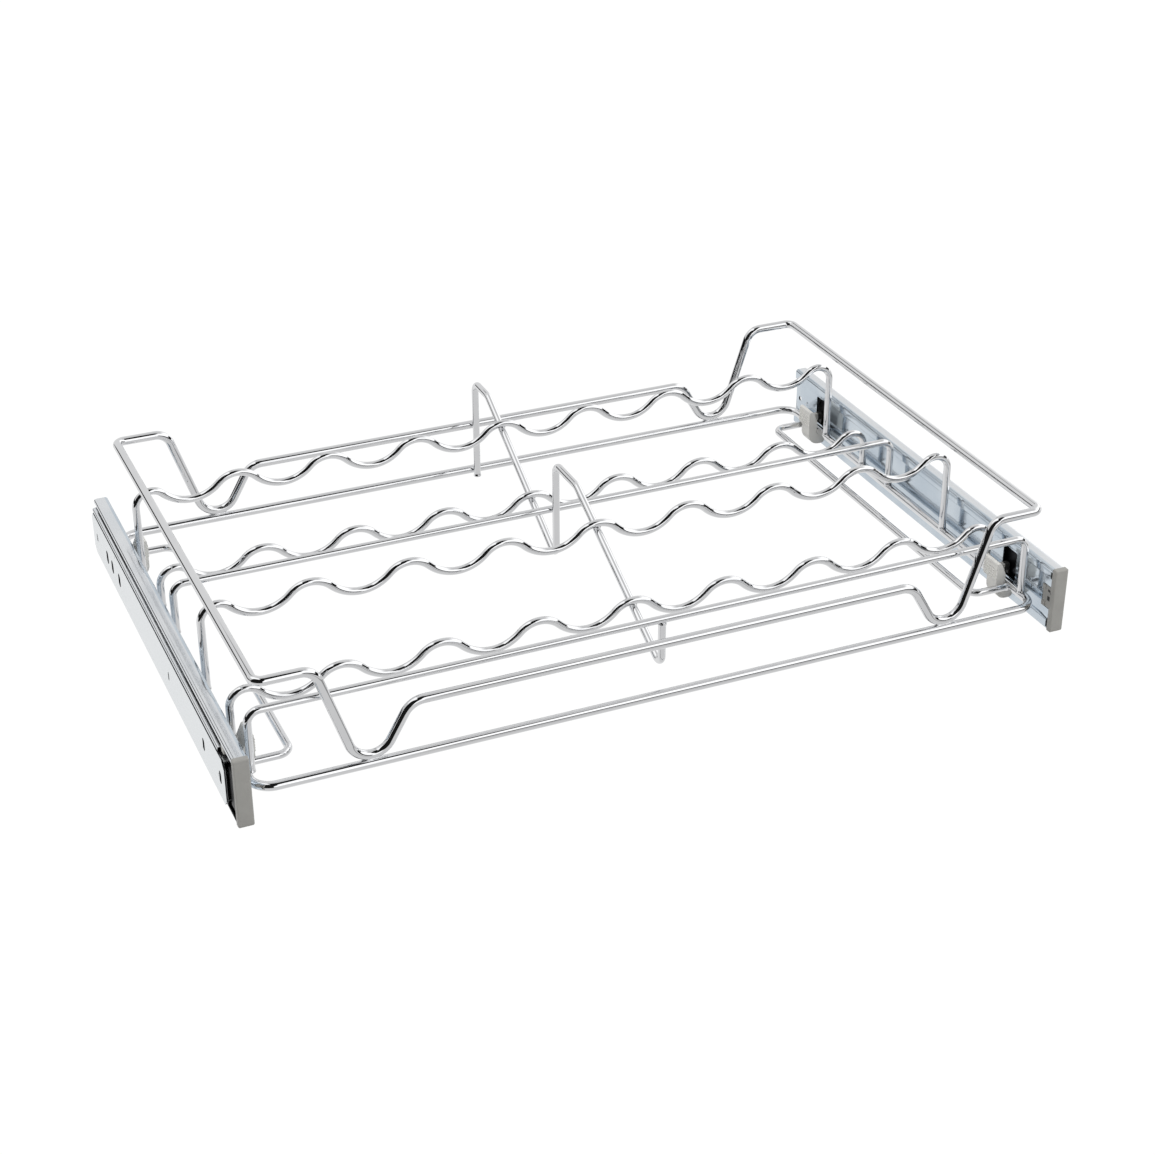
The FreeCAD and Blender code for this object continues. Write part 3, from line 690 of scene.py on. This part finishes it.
def grey_plastic(name, light, dark, grain, roughness, pockets=(), hooked_from=None):
    """Satin moulded plastic: slight mottling, the fine grain of an eroded mould, and painted shade in
    pockets.

    A pocket has a y, a z, a half length and a half height, and lies on the slide's inner side, up to
    the pocket floor's |x|; it is painted near black, as painted shade.  From the |x| where the piece
    hooks into the slide, it is painted dark, as painted shade inside the slide.  Each mask is a
    product of smooth steps over the dark edge's width.
    """
    material, place, shader = new_material(name, Specular_IOR_Level=0.4)
    fine = place.noise(grain, 2.0)
    tint = place.noise(90.0, 3.0).ramp(0.3, 0.7).mix(light, dark)
    x, y, z = place.axes()
    for pocket_y, pocket_z, half_length, half_height in pockets:
        # Painted shade on the pocket's patch of the tongue.
        pocket_shade = (abs(y - pocket_y).fall(half_length - dark_edge, half_length)
                * abs(z - pocket_z).fall(half_height - dark_edge, half_height)
                * abs(x).fall(pocket_floor - dark_edge, pocket_floor))
        tint = pocket_shade.mix(tint, pocket_shade_tone)
    if hooked_from:
        # Painted shade inside the slide, from the hook's |x| on.
        tint = abs(x).ramp(hooked_from - dark_edge, hooked_from).mix(tint, hook_shade_tone)
    feed(shader, Base_Color=tint, Normal=fine.bump(0.25, 0.00008),
         Roughness=fine.ramp(0.3, 0.7, roughness - 0.05, roughness + 0.05))
    return material


cap_grey = grey_plastic("cap_plastic", (0.40, 0.395, 0.372), (0.37, 0.365, 0.345), 3500.0, 0.42,
                        tongue_pockets)
for side_name in ("right", "left"):
    finished_copy(side_name + "_end_cap", "rack", cap_grey, 0.0003)


# Clips
# Pale grey moulded clips that wrap the base wire and hook through a window of the slide; five
# ribs on the inner face give the fingers a grip.
# The clips' hooks inside the slide carry painted shade.
clip_grey = grey_plastic("clip_plastic", (0.86, 0.85, 0.81), (0.82, 0.81, 0.775), 3000.0, 0.38,
                         hooked_from=slide_face)
for place_name in ("front_right", "rear_right", "front_left", "rear_left"):
    finished_copy(place_name + "_clip", "rack", clip_grey, 0.0004)


# Buffers and stops
# A black rubber-like buffer behind each cap, whose nose ends just ahead of the cabinet member,
# and small natural-white nylon stops in the drawer member's channel, front and rear.
buffer_black = grey_plastic("buffer_plastic", (0.022, 0.022, 0.024), (0.015, 0.015, 0.017),
                            3000.0, 0.45)
nylon_white = grey_plastic("nylon", (0.78, 0.78, 0.74), (0.70, 0.70, 0.67), 3000.0, 0.4)
for side_name in ("right", "left"):
    finished_copy(side_name + "_front_buffer", "rack", buffer_black, 0.0003)
    finished_copy(side_name + "_raceway_stop", "rack", nylon_white, 0.0003)
    finished_copy(side_name + "_rear_stop", "rack", nylon_white, 0.0002)


# Floor
# A plain pale floor with the rack's soft shadow on it.  The camera sees it as nearly white, and
# the chrome mirrors the studio in its place.
floor_reach = 12.0
floor_glow = 1.06
glow_share = 0.94
floor_mesh = bpy.data.meshes.new("floor")
floor_mesh.from_pydata([(-floor_reach, -floor_reach, 0), (floor_reach, -floor_reach, 0),
                        (floor_reach, floor_reach, 0), (-floor_reach, floor_reach, 0)],
                       [], [(0, 1, 2, 3)])
floor_material, place, shader = new_material("floor_paper", Roughness=0.9, Specular_IOR_Level=0.0)
fibres = place.noise(40.0, 2.0).ramp(0.3, 0.7)
feed(shader, Base_Color=fibres.mix((0.62, 0.62, 0.62), (0.60, 0.60, 0.60)))
paper = Shade(place.tree, shader.outputs[0])
white = place.node("ShaderNodeEmission", {"Strength": floor_glow})
seen = place.node("ShaderNodeLightPath", output="Is Camera Ray")
shown = place.node("ShaderNodeMixShader", {0: seen * glow_share, 1: paper, 2: white})
feed(floor_material.node_tree.nodes["Material Output"], Surface=shown)
floor_mesh.materials.append(floor_material)
floor = bpy.data.objects.new("floor", floor_mesh)
floor.visible_glossy = False
bpy.context.scene.collection.objects.link(floor)


# Studio
# Bright panels and a pale ceiling round the rack, with dark gaps between them that draw the
# crisp lines on the chrome and the zinc.  Everything dull is lit by an even white room.
room_strength = 0.64
panel_strength = 1.3
left_panel_share = 0.8
back_gap_share = 0.85
table_edge_share = 0.55
darkest = 0.01
world = bpy.data.worlds.new("studio")
bpy.context.scene.world = world
world.use_nodes = True
world.node_tree.nodes.clear()
# A gap or panel is a patch of directions with soft edges.  x, y and z are a unit vector's,
# leftward is the angle round Z from -X and front_angle the one round X from -Y, in radians.
direction = Shade(world.node_tree).node("ShaderNodeTexCoord", output="Generated")
x, y, z = direction.axes()
leftward = direction.math("ARCTAN2", y, x * -1)
front_angle = direction.math("ARCTAN2", z, y * -1)
left_front = ((x - z.ramp(0.2, 0.5, 0.0, 0.24)).fall(-0.14, -0.06)
              * (y - x.ramp(-0.60, -0.42, 0.11, 0.0)).fall(-0.11, -0.06)
              * z.band((-0.31, -0.26), (0.88, 0.92)))
left_low = leftward.band((-0.10, -0.05), (1.10, 1.16)) * z.band((-0.06, -0.03), (0.18, 0.23))
right_gap = (x.ramp(0.70, 0.73) * z.band((0.09, 0.11), (0.33, 0.36))
             * y.band((-0.40, -0.36), (0.28, 0.32)))
ceiling_gap = ((abs(front_angle - 1.09) - x.ramp(0.10, 0.44, 0.42, 0.0)).fall(-0.02, 0.02)
               * x.band((-0.20, -0.14), (0.40, 0.44)))
back_gap = (abs(x).fall(0.05, 0.12) * (z - y * 0.64).ramp(-0.02, 0.02)
            * (z - y).fall(-0.08, 0.00) * back_gap_share)
horizon = z.band((-0.02, 0.0), (0.22, 0.28)) * y.fall(-0.3, -0.2) * x.ramp(0.22, 0.30)
table_edge = (z.band((-0.35, -0.31), (-0.24, -0.20)) * x.ramp(0.20, 0.30)
              * y.fall(-0.05, 0.05) * table_edge_share)
dark = left_front | left_low | right_gap | ceiling_gap | back_gap | horizon | table_edge
front_panel = front_angle.fall(1.08, 1.12) * y.fall(-0.05, 0.05)
left_panel = x.fall(-0.20, -0.08) * z.ramp(0.64, 0.74) * y.fall(0.45, 0.6) * left_panel_share
right_panel = x.ramp(0.50, 0.76)
ceiling = y.ramp(0.2, 0.8, 0.62, 0.75)
upper = ceiling + (panel_strength - ceiling) * (front_panel | right_panel | left_panel)
lower = y.ramp(-0.3, 0.3, 0.66, 0.80)
above = z.ramp(-0.02, 0.0)
bright = (1 - dark) * (above * upper + (1 - above) * lower) + darkest
plain, mirrored, white = (direction.node("ShaderNodeBackground",
                                         {"Color": (1, 1, 1, 1), "Strength": strength})
                          for strength in (room_strength, bright, 1.0))
camera_ray, glossy_ray, glass_ray = (direction.node("ShaderNodeLightPath", output=ray)
                                     for ray in ("Is Camera Ray", "Is Glossy Ray",
                                                 "Is Transmission Ray"))
lit = direction.node("ShaderNodeMixShader", {0: glossy_ray, 1: plain, 2: mirrored})
shown = direction.node("ShaderNodeMixShader", {0: camera_ray + glass_ray, 1: lit, 2: white})
feed(world.node_tree.nodes.new("ShaderNodeOutputWorld"), Surface=shown)


# Lamps and camera
# Two large soft lamps above the rack, one on the right and a weaker one on the left, which the
# chrome doesn't mirror; and the photograph's viewing angle.
rack_middle = Vector((0, 0, 0.05))


def soft_lamp(name, place, size, power):
    """Square area lamp that looks from its place to the rack's middle."""
    lamp = bpy.data.lights.new(name, "AREA")
    lamp.size = size
    lamp.energy = power
    holder = bpy.data.objects.new(name, lamp)
    holder.visible_glossy = False
    turned = (Vector(place) - rack_middle).to_track_quat("Z", "Y").to_matrix().to_4x4()
    holder.matrix_world = Matrix.Translation(place) @ turned
    bpy.context.scene.collection.objects.link(holder)


soft_lamp("key_lamp", (1.3, -1.3, 2.2), size=1.4, power=26.0)
soft_lamp("fill_lamp", (-1.8, 0.4, 1.8), size=1.2, power=8.0)

camera = bpy.data.cameras.new("camera")
camera.sensor_width = 36.0
camera.lens = 68.82
camera_holder = bpy.data.objects.new("camera", camera)
camera_place = (-0.5078, -1.2012, 0.7412)
# The camera's own right, up and forward directions, seen from the rack.
rightward = Vector((0.91819, -0.39613, -0.00291))
upward = Vector((0.19574, 0.44729, 0.87271))
forward = Vector((0.3444, 0.80188, -0.48824))
turned = Matrix((rightward, upward, -forward)).transposed().to_4x4()
camera_holder.matrix_world = Matrix.Translation(camera_place) @ turned
bpy.context.scene.collection.objects.link(camera_holder)
bpy.context.scene.camera = camera_holder
bpy.context.scene.view_settings.view_transform = "Standard"
